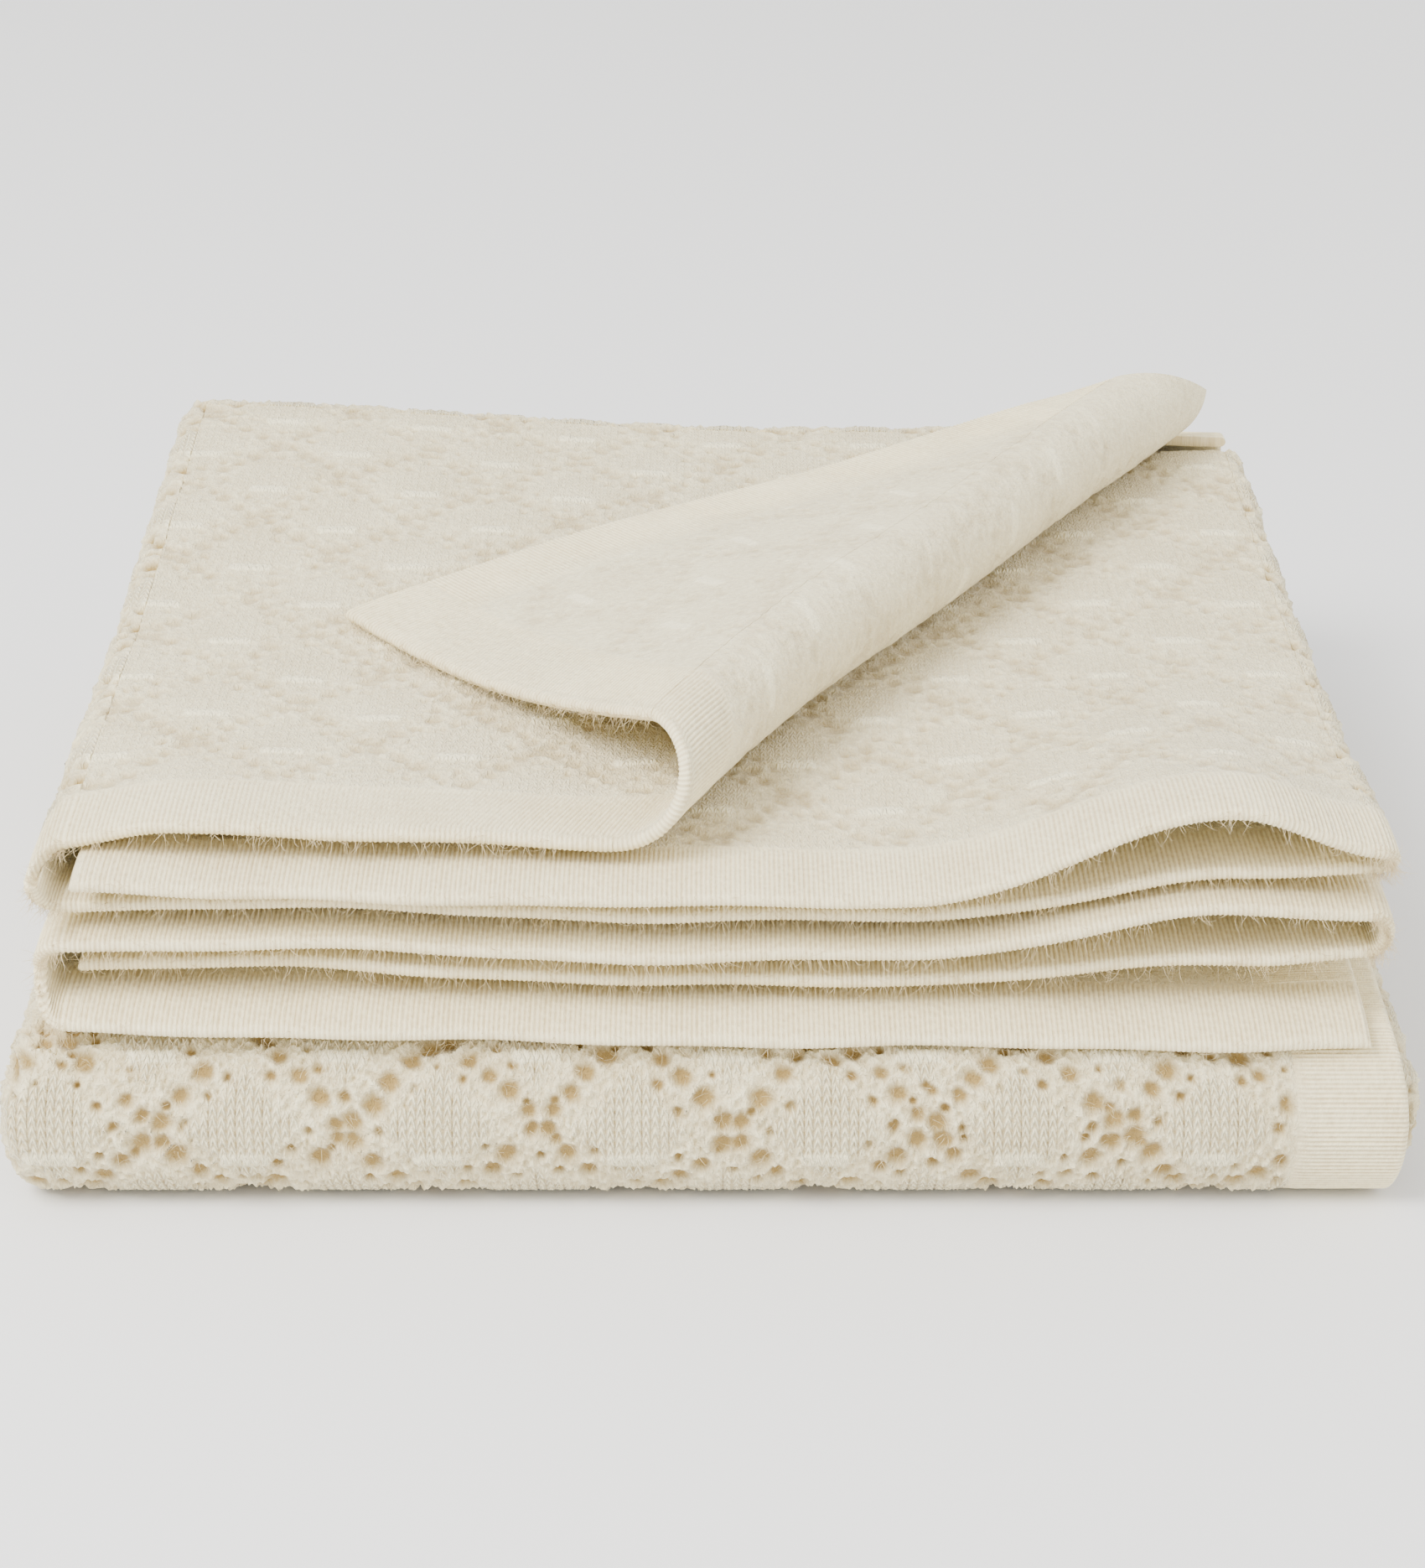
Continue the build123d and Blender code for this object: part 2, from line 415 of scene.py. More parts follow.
def knit(name, columns, rows, place, u, v, stitch, free=None, relief=1.0):
    """A closed stretch of cloth. place(a, b) gives the middle of the cloth, u and v its flat places,
    stitch is lace, end_rib or side_rib, and free(a, b) gives the distance to the nearest free edge."""
    count = len(columns), len(rows)
    a, b = np.meshgrid(columns, rows, indexing="ij")
    middle = place(a, b)
    flat_u = u(a, b)
    flat_v = v(a, b)
    turned = np.gradient(flat_u, axis=0) * np.gradient(flat_v, axis=1) < 0
    normal = -np.cross(np.gradient(middle, axis=0), np.gradient(middle, axis=1))
    normal = np.where(turned[..., None], -normal, normal)
    normal /= np.maximum(np.linalg.norm(normal, axis=-1, keepdims=True), 1e-12)
    half = np.full(a.shape, thickness / 2)
    if free is not None:
        inwards = 1 - np.clip(free(a, b) / (thickness / 2), 0, 1)
        half = half * np.maximum(np.sqrt(1 - inwards**2), 0.04)
    roundness = half / (thickness / 2)
    if stitch == "lace":
        rise, tone_and_shading, plain = lace(flat_u, flat_v, relief)
        back_rise = 0.3 * rise
        # The reverse face gets a weaker copy of the painted shade and highlight.
        back_tone_and_shading = 0.80 + (tone_and_shading - 0.80) * 0.4
    else:
        from_end = np.minimum(flat_v, flat_length - flat_v)
        from_side = np.minimum(flat_u, flat_total - flat_u)
        to_lace = border - (from_end if stitch == "end_rib" else from_side)
        rise, tone_and_shading = ribs(flat_u if stitch == "end_rib" else flat_v, to_lace)
        rise = rise + 0.05 * millimetre * wool(flat_u, flat_v)
        plain = 0 * rise
        back_rise = rise
        back_tone_and_shading = tone_and_shading
    faces = np.stack([
        middle + normal * (half + rise * roundness)[..., None],
        middle - normal * (half + back_rise * roundness)[..., None],
    ])

    bm = bmesh.new()
    bmesh.ops.create_grid(bm, x_segments=count[0] - 1, y_segments=count[1] - 1, size=0.5)
    bmesh.ops.solidify(bm, geom=bm.faces[:], thickness=0.1)
    mesh = bpy.data.meshes.new(name)
    bm.to_mesh(mesh)
    bm.free()
    flat = np.empty(len(mesh.vertices) * 3)
    mesh.vertices.foreach_get("co", flat)
    flat = flat.reshape(-1, 3)
    column = np.round((flat[:, 0] + 0.5) * (count[0] - 1)).astype(int)
    row = np.round((flat[:, 1] + 0.5) * (count[1] - 1)).astype(int)
    side = (abs(flat[:, 2]) > 0.05).astype(int)
    mesh.vertices.foreach_set("co", faces[side, column, row].ravel())
    # The tone attribute carries the painted shade and highlight to the material.
    for key, values in (("tone_and_shading", np.stack([tone_and_shading, back_tone_and_shading])), ("plain", np.stack([plain, 0 * plain]))):
        layer = mesh.attributes.new(key, "FLOAT", "POINT")
        layer.data.foreach_set("value", values[side, column, row].astype(np.float32))
    corner = np.empty(len(mesh.loops), dtype=np.int32)
    mesh.loops.foreach_get("vertex_index", corner)
    flat_map = mesh.uv_layers.new(name="flat")
    pairs = np.stack([flat_u[column, row], flat_v[column, row]], -1)[corner]
    flat_map.data.foreach_set("uv", pairs.ravel().astype(np.float32))
    mesh.update()
    bm = bmesh.new()
    bm.from_mesh(mesh)
    if bm.calc_volume(signed=True) < 0:
        bmesh.ops.reverse_faces(bm, faces=bm.faces[:])
    bm.to_mesh(mesh)
    bm.free()
    mesh.shade_smooth()
    mesh.set_sharp_from_angle(angle=math.radians(seam_angle))
    mesh.materials.append(lace_finish if stitch == "lace" else rib_finish)
    piece = bpy.data.objects.new(name, mesh)
    bpy.context.scene.collection.objects.link(piece)
    corner_a = np.stack([flat_u[1:, 1:] - flat_u[:-1, :-1], flat_v[1:, 1:] - flat_v[:-1, :-1]])
    corner_b = np.stack([flat_u[:-1, 1:] - flat_u[1:, :-1], flat_v[:-1, 1:] - flat_v[1:, :-1]])
    return piece


def even(length, step):
    """Shares from 0 to 1 for a stretch of a given length, one to a step."""
    return np.linspace(0, 1, max(3, int(round(length / (step * detail))) + 1))


# ---- Wool finish ------------------------------------------------------------------------------
# Undyed ivory wool in a fine two-ply yarn, brushed soft. Eyelets, hollows and the grooves
# between stitches and ribs get painted shade in the colour, and the purl rows a painted highlight;
# the yarn's twist and stray fibres show in low light.
class Wire:
    """A socket in a material; sums and products of wires add their Math nodes."""

    def __init__(self, finish, socket):
        self.finish = finish
        self.socket = socket

    def math(self, operation, other=0.0):
        return self.finish.node("ShaderNodeMath", {"operation": operation}, {0: self, 1: other})

    def __add__(self, other):
        return self.math("ADD", other)

    __radd__ = __add__

    def __mul__(self, other):
        return self.math("MULTIPLY", other)

    __rmul__ = __mul__

    def __sub__(self, other):
        return self.math("SUBTRACT", other)

    def __rsub__(self, other):
        return self.finish.node("ShaderNodeMath", {"operation": "SUBTRACT"}, {0: other, 1: self})


class Finish:
    """A material, and the one way in which it adds a node."""

    def __init__(self, name):
        self.material = bpy.data.materials.new(name)
        self.material.use_nodes = True
        self.tree = self.material.node_tree
        self.shader = self.tree.nodes["Principled BSDF"]

    def node(self, kind, settings, values, output=0):
        made = self.tree.nodes.new(kind)
        for key, value in settings.items():
            setattr(made, key, value)
        for key, value in values.items():
            if isinstance(value, Wire):
                self.tree.links.new(value.socket, made.inputs[key])
            else:
                made.inputs[key].default_value = value
        return Wire(self, made.outputs[output])

    def feed(self, socket, wire):
        self.tree.links.new(wire.socket, self.shader.inputs[socket])


def wool_finish(name, ivory, painted_shade, cell, bump_height):
    finish = Finish(name)
    flat = finish.node("ShaderNodeUVMap", {"uv_map": "flat"}, {})
    tone_and_shading = finish.node("ShaderNodeAttribute", {"attribute_name": "tone_and_shading"}, {}, "Fac")
    plain = finish.node("ShaderNodeAttribute", {"attribute_name": "plain"}, {}, "Fac")
    fuzz = finish.node("ShaderNodeTexNoise", {}, {"Vector": flat, "Scale": 1500.0, "Detail": 3.0}, 0)
    fibres = finish.node("ShaderNodeTexNoise", {}, {"Vector": flat, "Scale": 420.0, "Detail": 3.0}, 0)
    clouds = finish.node("ShaderNodeTexNoise", {}, {"Vector": flat, "Scale": 45.0, "Detail": 5.0}, 0)
    u = finish.node("ShaderNodeSeparateXYZ", {}, {0: flat}, 0) + (fibres - 0.5) * (0.0028 - plain * 0.0024)
    v = finish.node("ShaderNodeSeparateXYZ", {}, {0: flat}, 1) + (clouds - 0.5) * (0.0100 - plain * 0.0080)
    legs = ((u * (1 / cell)).math("FRACT") - 0.5).math("ABSOLUTE")
    off_leg = (legs - 0.2) * 3.3
    yarn = ((v * (1 / stitch_row) + legs * 2.0) * math.tau).math("SINE") * 0.4 + 0.6
    stitches = (1.0 - off_leg * off_leg) * yarn
    share = plain * 0.55 + 0.10
    # Painted shade and highlight from the tone, random clouds and fibres, and painted shade between the
    # stitch legs, stronger where the stitches are plain.
    mottle_and_shading = tone_and_shading + (clouds - 0.5) * 0.40 + (fibres - 0.5) * 0.60 + (stitches - 0.5) * share
    # The darker colour of the mix is painted shade for eyelets and grooves; the lighter is the wool's ivory.
    colour = finish.node(
        "ShaderNodeMix",
        {"data_type": "RGBA", "clamp_factor": True},
        {0: mottle_and_shading, 6: (*painted_shade, 1.0), 7: (*ivory, 1.0)},
        2,
    )
    finish.feed("Base Color", colour)
    finish.feed("Roughness", 0.85 + (fibres - 0.5) * 0.3)
    relief = stitches * (plain * 0.5 + 0.2) + fibres * 1.1 + fuzz * 0.4
    bump = finish.node(
        "ShaderNodeBump", {}, {"Strength": 1.0, "Distance": bump_height, "Height": relief}
    )
    finish.feed("Normal", bump)
    finish.shader.inputs["Sheen Weight"].default_value = 0.4
    finish.shader.inputs["Sheen Roughness"].default_value = 0.4
    finish.shader.inputs["Sheen Tint"].default_value = (1.0, 0.96, 0.88, 1.0)
    finish.shader.inputs["Specular IOR Level"].default_value = 0.2
    return finish.material


# The second colour of each finish is painted shade for eyelets and grooves.
lace_finish = wool_finish("lace_finish", (1.0, 0.915, 0.62), (0.38, 0.26, 0.09), wale, 0.0011)
rib_finish = wool_finish("rib_finish", (1.0, 0.905, 0.60), (0.42, 0.28, 0.10), rib_pitch, 0.0006)

# ---- Twelve thirds of the lace panel and their side folds -------------------------------------
# The lace between its borders, laid in four courses. Only the top, the sides and the nose show.
bodies = {"top": "upper_half", "second": "upper_half", "third": "lower_half", "bottom": "lower_half"}


def flat_u_of(part):
    return lambda a, b: flat_starts[part] + flat_widths[part] * a


def flat_v_of(course, part="outer"):
    lines = panel_lines["top"]
    return lambda a, b: flat_rows[course] + flat_run(course, across(lines, part, a)[1]) * b


def stretch(name, course, part, a_range, b_range, steps, stitch="lace", free=None, grain=None, relief=1.0):
    """A piece of one course and one part across, between two shares each way."""
    width = flat_widths[part] * (a_range[1] - a_range[0])
    length = flat_lengths[course] * (b_range[1] - b_range[0])
    columns = a_range[0] + (a_range[1] - a_range[0]) * even(width, steps[0])
    rows = b_range[0] + (b_range[1] - b_range[0]) * even(length, steps[1])
    if grain is not None:
        columns, rows = grain(columns, rows)
    return knit(
        name,
        columns,
        rows,
        lambda a, b: lay(course, part, a, b),
        flat_u_of(part),
        flat_v_of(course, part),
        stitch,
        free,
        relief=relief,
    )


def border_share(course):
    """Where the end border stops, as a share of its course."""
    return border / flat_lengths[course]


outer_border = border / flat_widths["outer"]
inner_border = 1 - border / flat_widths["inner"]


def from_outer_edge(a, b):
    return a * flat_widths["outer"]


def from_inner_edge(a, b):
    return (1 - a) * flat_widths["inner"]


# Distances from a free edge to the rows or columns that round it over
rim_places = np.array([0.0, 0.00012, 0.0004, 0.0009, 0.0016, 0.0024])


def rounded_first(columns, rows):
    """More columns at the outer third's free edge."""
    rim = rim_places / flat_widths["outer"]
    return np.concatenate([rim, columns[columns > rim[-1] * 1.3]]), rows


def rounded_last(columns, rows):
    """More columns at the inner third's free edge."""
    rim = 1 - rim_places[::-1] / flat_widths["inner"]
    return np.concatenate([columns[columns < rim[0] - 0.001], rim]), rows


# Mesh steps across and along: coarse where a piece is hidden, fine round a fold
hidden = (0.009, 0.009)
half_hidden = (0.0023, 0.0023)
fold_steps = (0.0016, 0.0016)
for course in ("top", "second", "third", "bottom"):
    if course in ("top", "second"):
        lace_rows = (border_share(course), 1.0) if course == "top" else (0.0, 1 - border_share(course))
    else:
        lace_rows = (0.0, 1.0)
    for part in sections:
        if (course, part) in (("top", "outer"), ("top", "inner")):
            continue
        a_range = (0.0, 1.0)
        replaced = [f"{course}_{part}" if "fold" in part else f"{course}_{part}_third"]
        if part == "outer":
            a_range = (outer_border, 1.0)
            edge_piece = stretch(
                f"{course}_outer_side_rib", course, "outer", (0.0, outer_border), lace_rows,
                (0.006, 0.00055), "side_rib", from_outer_edge, rounded_first,
            )
            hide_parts(f"{course}_outer_side_border")
            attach(edge_piece, bodies[course])
        if part == "inner":
            a_range = (0.0, inner_border)
            edge_piece = stretch(
                f"{course}_inner_side_rib", course, "inner", (inner_border, 1.0), lace_rows,
                (0.008, 0.002), "side_rib", from_inner_edge, rounded_last,
            )
            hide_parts(f"{course}_inner_side_border")
            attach(edge_piece, bodies[course])
        steps = fold_steps if "fold" in part else hidden
        if part == "outer" and course in ("second", "third"):
            steps = half_hidden
        relief = brushed_relief if "fold" not in part else 1.0
        piece = stretch(f"{course}_{part}_lace", course, part, a_range, lace_rows, steps, relief=relief)
        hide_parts(*replaced)
        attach(piece, bodies[course])

# The inner third of the top course, which shows where the corner is turned back
inner_rows = (border_share("top"), 1.0)
shown_share = 0.72
top_inner_shown = stretch(
    "top_inner_shown", "top", "inner", (0.0, shown_share), inner_rows, (0.0017, 0.0017),
    relief=brushed_relief,
)
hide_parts("top_inner_third")
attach(top_inner_shown, "upper_half")
top_inner_tucked = stretch(
    "top_inner_tucked", "top", "inner", (shown_share, inner_border), inner_rows, hidden
)
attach(top_inner_tucked, "upper_half")
top_inner_edge = stretch(
    "top_inner_side_rib", "top", "inner", (inner_border, 1.0), inner_rows, (0.008, 0.002), "side_rib",
    from_inner_edge, rounded_last,
)
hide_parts("top_inner_side_border")
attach(top_inner_edge, "upper_half")

# ---- Turned corner ----------------------------------------------------------------------------
# The top layer's free front corner, lifted and laid back over the stack in a soft roll, so that
# the muted reverse of the lace and both rib borders show.
turn_joint = next(j for j in frame["record"]["behaviour"]["joints"] if j["name"] == "corner_flap_turn")
along = np.array(turn_joint["axis"][:2])
along = along / np.linalg.norm(along)
outward = np.array([along[1], -along[0]])
roll_start = np.array(turn_joint["pos_m"][:2])
top_height = course_heights["top"][2]
roll_radius = turn_joint["pos_m"][2] - top_height
flap_slope = math.radians(8.82)
# At its front the roll lies further right, is a little larger, and its flap is stretched and sags
opening_length = 0.11
front_shift = 0.0145
front_growth = 0.0005
front_stretch = 0.15
front_sag = 0.0085
free_x = panel_lines["top"]["free_right"]


def at_front(y):
    """1 at the front edge, fading to 0 towards the back; the roll opens out at its front."""
    return np.exp(-(y - roll_start[1]) / opening_length)


def roll_line(y):
    """Where the roll lifts off the stack at each distance back."""
    return roll_start[0] + (y - roll_start[1]) * along[0] / along[1] + front_shift * at_front(y)


def roll_size(y):
    """Radius of the roll, and the length of cloth in it."""
    radius = roll_radius + front_growth * at_front(y)
    return radius, (math.pi + flap_slope) * radius


def turned_reach(y):
    """Length of cloth from the roll line to the free edge, square to the roll."""
    return (free_x - roll_line(y)) * outward[0]


def turn_back(x, y):
    """Lays the flat place x, y of the corner over the roll. The flap sags a little at its front."""
    shift = (x - roll_line(y))[..., None]
    base = np.stack([roll_line(y), y], -1) + shift * along[0] * along
    reach = shift[..., 0] * outward[0]
    radius, length = roll_size(y)
    angle = np.clip(reach, 0, length) / radius
    past = np.clip(reach - length, 0, None)
    whole = np.maximum(turned_reach(y) - length, 0.02)
    stretched = past * (1 + front_stretch * at_front(y))
    sideways = radius * np.sin(angle) - stretched * math.cos(flap_slope)
    up = radius * (1 - np.cos(angle)) - stretched * math.sin(flap_slope)
    up = up - front_sag * at_front(y) * np.sin(math.pi * np.clip(past / whole, 0, 1))
    ground = base + sideways[..., None] * outward
    lift = height("top", roll_line(y), y, 2.0 + 0 * x)
    return np.concatenate([ground, (lift + up)[..., None]], -1)


def top_row(b):
    """Distance back of a share of the top course, in the outer third."""
    return top_ends[2] + (back_y - top_ends[2]) * b


def corner_u(x):
    return free_x - x


def past_the_roll(b):
    """Length of flat cloth between the roll and the free edge."""
    return turned_reach(top_row(b)) - roll_size(top_row(b))[1]


def flat_panel(name, columns, rows, x_of, stitch, free=None):
    """A stretch of the top layer whose side follows the roll line."""

    def place(a, b):
        x = x_of(a, b)
        y = end_line("top", x, 2.0) + (back_y - end_line("top", x, 2.0)) * b
        return np.stack([x, y, height("top", x, y, 2.0 + 0 * x)], -1)

    return knit(
        name, columns, rows, place, lambda a, b: corner_u(x_of(a, b)), flat_v_of("top"), stitch, free,
        relief=brushed_relief,
    )


def corner_panel(name, columns, rows, reach_of, stitch, free=None):
    """A stretch of the turned corner. reach_of gives the cloth's distance from the roll line."""

    def flat_x(a, b):
        return roll_line(top_row(b)) + reach_of(a, b) / outward[0]

    return knit(
        name,
        columns,
        rows,
        lambda a, b: turn_back(flat_x(a, b), top_row(b)),
        lambda a, b: corner_u(flat_x(a, b)),
        flat_v_of("top"),
        stitch,
        free,
        relief=0.6,
    )


left_x = panel_lines["top"]["left"]


def beside_roll(a, b):
    """x at the share a of the cloth from the roll line to the left fold."""
    return roll_line(top_row(b)) + (left_x - roll_line(top_row(b))) * a


top_depth = back_y - top_ends[2]
top_lace_rows = border_share("top") + (1 - border_share("top")) * even(top_depth - border, 0.0014)
for side, share_from, share_to in (("right", 0.0, 0.5), ("left", 0.5, 1.0)):
    top_panel = flat_panel(
        f"top_outer_{side}",
        share_from + (share_to - share_from) * even(0.15, 0.00125),
        top_lace_rows,
        beside_roll,
        "lace",
    )
    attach(top_panel, "upper_half")
    if side == "right":
        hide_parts("top_outer_third")

front_rim = np.append(rim_places, 0.0045) / top_depth
end_rows = np.concatenate([front_rim, np.linspace(0.0085 / top_depth, border_share("top"), 7)])


def from_top_end(a, b):
    return b * top_depth


flat_end = flat_panel(
    "top_outer_end_rib",
    even(0.152, 0.0004),
    end_rows,
    beside_roll,
    "end_rib",
    from_top_end,
)
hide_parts("top_outer_end_border")
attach(flat_end, "upper_half")

roll_blend = dict(start=(0, 0, top_height), end=(0, 0, top_height + 2 * roll_radius))
roll_lace = corner_panel(
    "corner_roll_lace",
    even(0.052, 0.0012),
    top_lace_rows,
    lambda a, b: a * np.minimum(turned_reach(top_row(b)), roll_size(top_row(b))[1]),
    "lace",
)
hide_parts("corner_roll")
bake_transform(roll_lace)
roll_end = corner_panel(
    "corner_roll_end_rib",
    even(0.060, 0.0004),
    end_rows,
    lambda a, b: a * roll_size(top_row(b))[1],
    "end_rib",
    from_top_end,
)
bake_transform(roll_end)

all_rows = np.linspace(0, 1, 2000)
past_roll = past_the_roll(all_rows)
flap_last_row = all_rows[past_roll > 0.0004].max()
side_reach = border * outward[0]


def lace_reach(b):
    """Length of cloth from the roll line to the flap's side border."""
    return np.maximum(turned_reach(top_row(b)) - side_reach, roll_size(top_row(b))[1])


flap_lace_rows = border_share("top") + (flap_last_row - border_share("top")) * even(0.29, 0.00135)
flap_lace = corner_panel(
    "flap_lace_reverse",
    even(0.14, 0.0013),
    flap_lace_rows,
    lambda a, b: roll_size(top_row(b))[1] + a * (lace_reach(b) - roll_size(top_row(b))[1]),
    "lace",
)
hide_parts("flap_lace")
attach(flap_lace, "corner_flap")


def flap_edge_distance(a, b):
    """Distance from the flap's side border to its nearest free edge."""
    whole = past_the_roll(b)
    side = (1 - a) * np.minimum(side_reach, whole) / outward[0]
    return np.minimum(side, b * top_depth)


flap_side = corner_panel(
    "flap_side_rib",
    1 - np.array([1.0, 0.8, 0.6, 0.4, 0.2, 0.075, 0.045, 0.025, 0.012, 0.004, 0.0]),
    border_share("top") + (flap_last_row - border_share("top")) * even(0.29, 0.0005),
    lambda a, b: lace_reach(b) + a * (turned_reach(top_row(b)) - lace_reach(b)),
    "side_rib",
    flap_edge_distance,
)
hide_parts("flap_side_border")
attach(flap_side, "corner_flap")
flap_end_columns = np.concatenate([even(0.19, 0.0004)[:-3], 1 - front_rim[::-1] * 1.6])
flap_end = corner_panel(
    "flap_end_rib",
    np.unique(np.clip(flap_end_columns, 0, 1)),
    end_rows,
    lambda a, b: roll_size(top_row(b))[1] + a * past_the_roll(b),
    "end_rib",
    lambda a, b: np.minimum(b * top_depth, (1 - a) * past_the_roll(b)),
)
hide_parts("flap_end_border")
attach(flap_end, "corner_flap")

# ---- End borders ------------------------------------------------------------------------------
# A fine 1 by 1 rib linked to each end of the lace. Folded in thirds with the panel, each end
# shows as three bands at the front.
for course, parts_shown in (("top", sections[1:]), ("second", sections)):
    for part in parts_shown:
        depth = flat_lengths[course]
        rim = end_rows * top_depth / depth
        rows = rim if course == "top" else 1 - rim[::-1]

        def from_end(a, b, course=course, depth=depth, part=part):
            run = b if course == "top" else 1 - b
            distance = run * depth
            if part == "outer":
                distance = np.minimum(distance, a * flat_widths["outer"])
            if part == "inner":
                distance = np.minimum(distance, (1 - a) * flat_widths["inner"])
            return distance

        columns = even(flat_widths[part], 0.00042)
        if part == "outer":
            columns, rows = rounded_first(columns, rows)
        if part == "inner":
            columns, rows = rounded_last(columns, rows)
        end_piece = knit(
            f"{course}_{part}_end_rib",
            columns,
            rows,
            lambda a, b: lay(course, part, a, b),
            flat_u_of(part),
            flat_v_of(course),
            "end_rib",
            from_end,
        )
        if "fold" not in part:
            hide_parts(f"{course}_{part}_end_border")
        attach(end_piece, bodies[course])

# ---- Nose -------------------------------------------------------------------------------------
# The first lengthwise fold, at the front of the lower half. The outer third's lace shows on it,
# with its side border at the right.
halfway = (outer_border + 1.0) / 2
for name, shares in (("right", (outer_border, halfway)), ("left", (halfway, 1.0))):
    nose_piece = stretch(f"nose_outer_{name}", "nose", "outer", shares, (0.0, 1.0), (0.0006, 0.0007))
    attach(nose_piece, "lower_half")
    if name == "right":
        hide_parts("nose_outer_fold")
nose_edge = stretch(
    "nose_outer_side_rib", "nose", "outer", (0.0, outer_border), (0.0, 1.0), (0.004, 0.0004), "side_rib",
    from_outer_edge, rounded_first,
)
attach(nose_edge, "lower_half")
nose_steps = {
    "left_fold": (0.0012, 0.0012),
    "middle": (hidden[0], 0.004),
    "right_fold": fold_steps,
    "inner": (hidden[0], 0.004),
}
for part, steps in nose_steps.items():
    nose_piece = stretch(f"nose_{part}_lace", "nose", part, (0.0, 1.0), (0.0, 1.0), steps)
    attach(nose_piece, "lower_half")
    if part in ("middle", "inner"):
        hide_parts(f"nose_{part}_fold")

# ---- Back folds -------------------------------------------------------------------------------
# The second lengthwise fold: the wide fold joins the top to the bottom, and the tight one lies
# inside it.
thirds = {"outer": 2.0, "left_fold": 1.0, "middle": 0.0, "right_fold": 0.5, "inner": 1.0}
for course in ("back_wide", "back_tight"):
    for part in sections:
        rise = back_rank(course, thirds[part]) * layer_step
        fine = course == "back_wide" and part == "outer"
        steps = (0.0017, 0.0016) if fine else (0.009, 0.003)
        if "fold" in part:
            steps = fold_steps
        a_range = (outer_border, 1.0) if part == "outer" else (0.0, 1.0)
        back_pieces = [
            stretch(f"{course}_{part}_lace", course, part, a_range, (0.0, 1.0), steps)
        ]
        if part == "outer":
            back_pieces.append(
                stretch(
                    f"{course}_outer_side_rib", course, "outer", (0.0, outer_border), (0.0, 1.0),
                    (0.005, 0.0005), "side_rib", from_outer_edge, rounded_first,
                )
            )
        for piece in back_pieces:
            back_z - rise
            back_z + rise
            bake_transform(piece)
        if "fold" not in part:
            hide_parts(f"{course}_{part}_fold")

# ---- Loose fibres -----------------------------------------------------------------------------
# Brushing pulls fine curved hairs out of the yarn. They show along the free ends, on the turned
# corner's edge and over the eyelets of the nose.
hair_finish = Finish("hair_finish")
hair_place = hair_finish.node("ShaderNodeTexCoord", {}, {}, "Object")
hair_noise = hair_finish.node("ShaderNodeTexNoise", {}, {"Vector": hair_place, "Scale": 300.0}, 0)
hair_colour = hair_finish.node(
    "ShaderNodeMix",
    {"data_type": "RGBA"},
    {0: hair_noise, 6: (0.42, 0.30, 0.12, 1.0), 7: (0.85, 0.74, 0.50, 1.0)},
    2,
)
hair_finish.feed("Base Color", hair_colour)
hair_finish.shader.inputs["Roughness"].default_value = 0.8
hair_dice = random.Random(31)


def hair(bm, root, out):
    """One hair in three tapering lengths, starting at root and bending as it goes."""
    point = Vector(root)
    length = hair_dice.uniform(0.0008, 0.0026)
    sway = Vector([hair_dice.uniform(-1, 1) for _ in range(3)])
    heading = (Vector(out) + sway * 0.8).normalized()
    bend = Vector([hair_dice.uniform(-0.8, 0.8) for _ in range(3)])
    radius = hair_dice.uniform(0.00006, 0.00011)
    for link in range(3):
        turn = Vector((0, 0, 1)).rotation_difference(heading).to_matrix().to_4x4()
        centre = Matrix.Translation(point + heading * length / 2)
        bmesh.ops.create_cone(
            bm, cap_ends=True, segments=3, depth=length, matrix=centre @ turn,
            radius1=radius * (1 - 0.25 * link), radius2=radius * (0.75 - 0.25 * link),
        )
        point = point + heading * length
        heading = (heading + bend * 0.6).normalized()


def hairs(name, body, roots):
    """Makes the hairs forty at a time, which is much quicker than in one growing mesh."""
    bm = bmesh.new()
    mesh = bpy.data.meshes.new(name)
    for first in range(0, len(roots), 40):
        bunch = bmesh.new()
        for root, out in roots[first : first + 40]:
            hair(bunch, root, out)
        bunch.to_mesh(mesh)
        bunch.free()
        bm.from_mesh(mesh)
    bm.to_mesh(mesh)
    bm.free()
    mesh.materials.append(hair_finish.material)
    piece = bpy.data.objects.new(name, mesh)
    bpy.context.scene.collection.objects.link(piece)
    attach(piece, body)


def spot(*shares):
    return [np.array([share]) for share in shares]


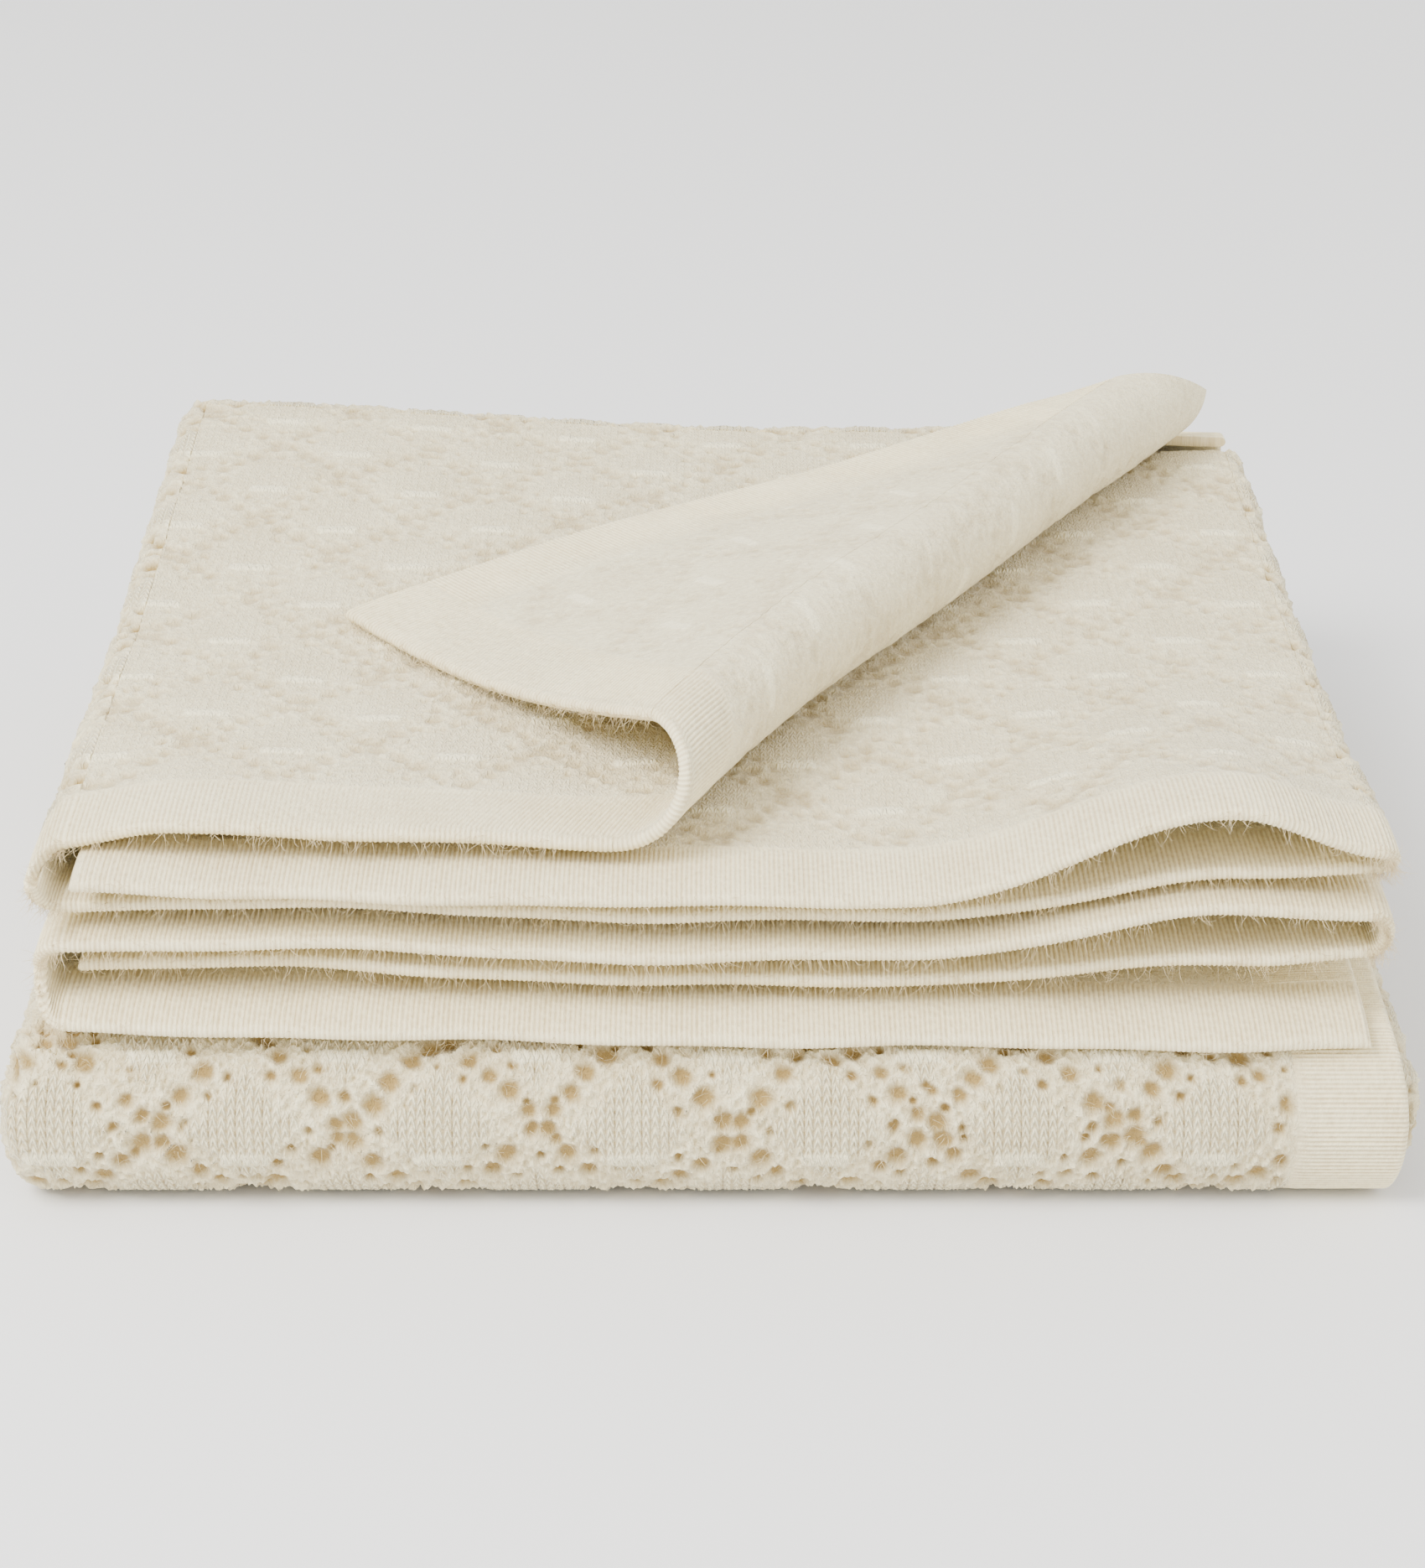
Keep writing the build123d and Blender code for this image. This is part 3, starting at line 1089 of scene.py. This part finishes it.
hair_count = 3200
upper_roots = []
for _ in range(hair_count):
    course = hair_dice.choice(("top", "second"))
    part = hair_dice.choice(("outer", "middle", "inner", "middle", "inner", "left_fold", "right_fold"))
    share = hair_dice.random()
    if course == "top" and part == "outer":
        share = 0.62 + 0.38 * share
    root = lay(course, part, *spot(share, 0.0 if course == "top" else 1.0))[0]
    rim_side = hair_dice.choice((-1, -1, 0, 1)) * thickness * 0.35
    upper_roots.append((root + [0, 0.0006, rim_side], (0, -1, rim_side * 350 - 0.2)))
hairs("upper_half_loose_fibres", "upper_half", upper_roots)
corner_roots = []
for _ in range(hair_count // 5):
    row = 0.0 if hair_dice.random() < 0.6 else hair_dice.random() * 0.6
    y = float(top_row(row))
    first = roll_line(y) + roll_size(y)[1] / outward[0]
    x = hair_dice.uniform(first, free_x) if row == 0 else free_x
    root = turn_back(*spot(x, y))[0]
    corner_roots.append((root, (-0.3, -0.7, hair_dice.uniform(-0.8, 0.5)) if row == 0 else (-0.6, 0.6, 0.3)))
hairs("corner_flap_loose_fibres", "corner_flap", corner_roots)
nose_roots = []
for _ in range(hair_count // 2):
    share = hair_dice.uniform(outer_border, 1.0)
    turn_share = hair_dice.uniform(0.35, 0.95)
    root = lay("nose", "outer", *spot(share, turn_share))[0]
    turn = math.pi * (turn_share - 0.5)
    out = np.array([0, -math.cos(turn), math.sin(turn)])
    nose_roots.append((root + out * thickness * 0.4, out * 0.5))
hairs("nose_loose_fibres", "lower_half", nose_roots)

# ---- Floor and light --------------------------------------------------------------------------
# A plain pale table, one large soft light from the upper left, a fill from the right, and sky.
bm = bmesh.new()
bmesh.ops.create_grid(bm, x_segments=1, y_segments=1, size=6.0)
floor_mesh = bpy.data.meshes.new("floor")
bm.to_mesh(floor_mesh)
bm.free()
floor = bpy.data.objects.new("floor", floor_mesh)
floor.location = (0, 0, cad_low[2] - 0.0012)
floor_finish = Finish("floor_finish")
floor_finish.shader.inputs["Base Color"].default_value = (0.86, 0.86, 0.86, 1.0)
floor_finish.shader.inputs["Roughness"].default_value = 0.9
floor_mesh.materials.append(floor_finish.material)
bpy.context.scene.collection.objects.link(floor)


def soft_light(name, place, size, power, tint):
    data = bpy.data.lights.new(name, "AREA")
    data.shape = "RECTANGLE"
    data.size = size
    data.size_y = size
    data.energy = power
    data.color = tint
    lamp = bpy.data.objects.new(name, data)
    lamp.location = place
    lamp.rotation_euler = (Vector((0, 0, 0.05)) - Vector(place)).to_track_quat("-Z", "Y").to_euler()
    bpy.context.scene.collection.objects.link(lamp)


soft_light("key", (-1.3, -1.1, 1.9), 1.2, 98.0, (1.0, 0.985, 0.96))
soft_light("fill", (1.8, -1.4, 1.2), 1.6, 16.0, (1.0, 0.99, 0.98))
world = bpy.data.worlds.new("studio")
world.use_nodes = True
world.node_tree.nodes["Background"].inputs[0].default_value = (1.0, 0.995, 0.98, 1.0)
world.node_tree.nodes["Background"].inputs[1].default_value = 1.65
bpy.context.scene.world = world
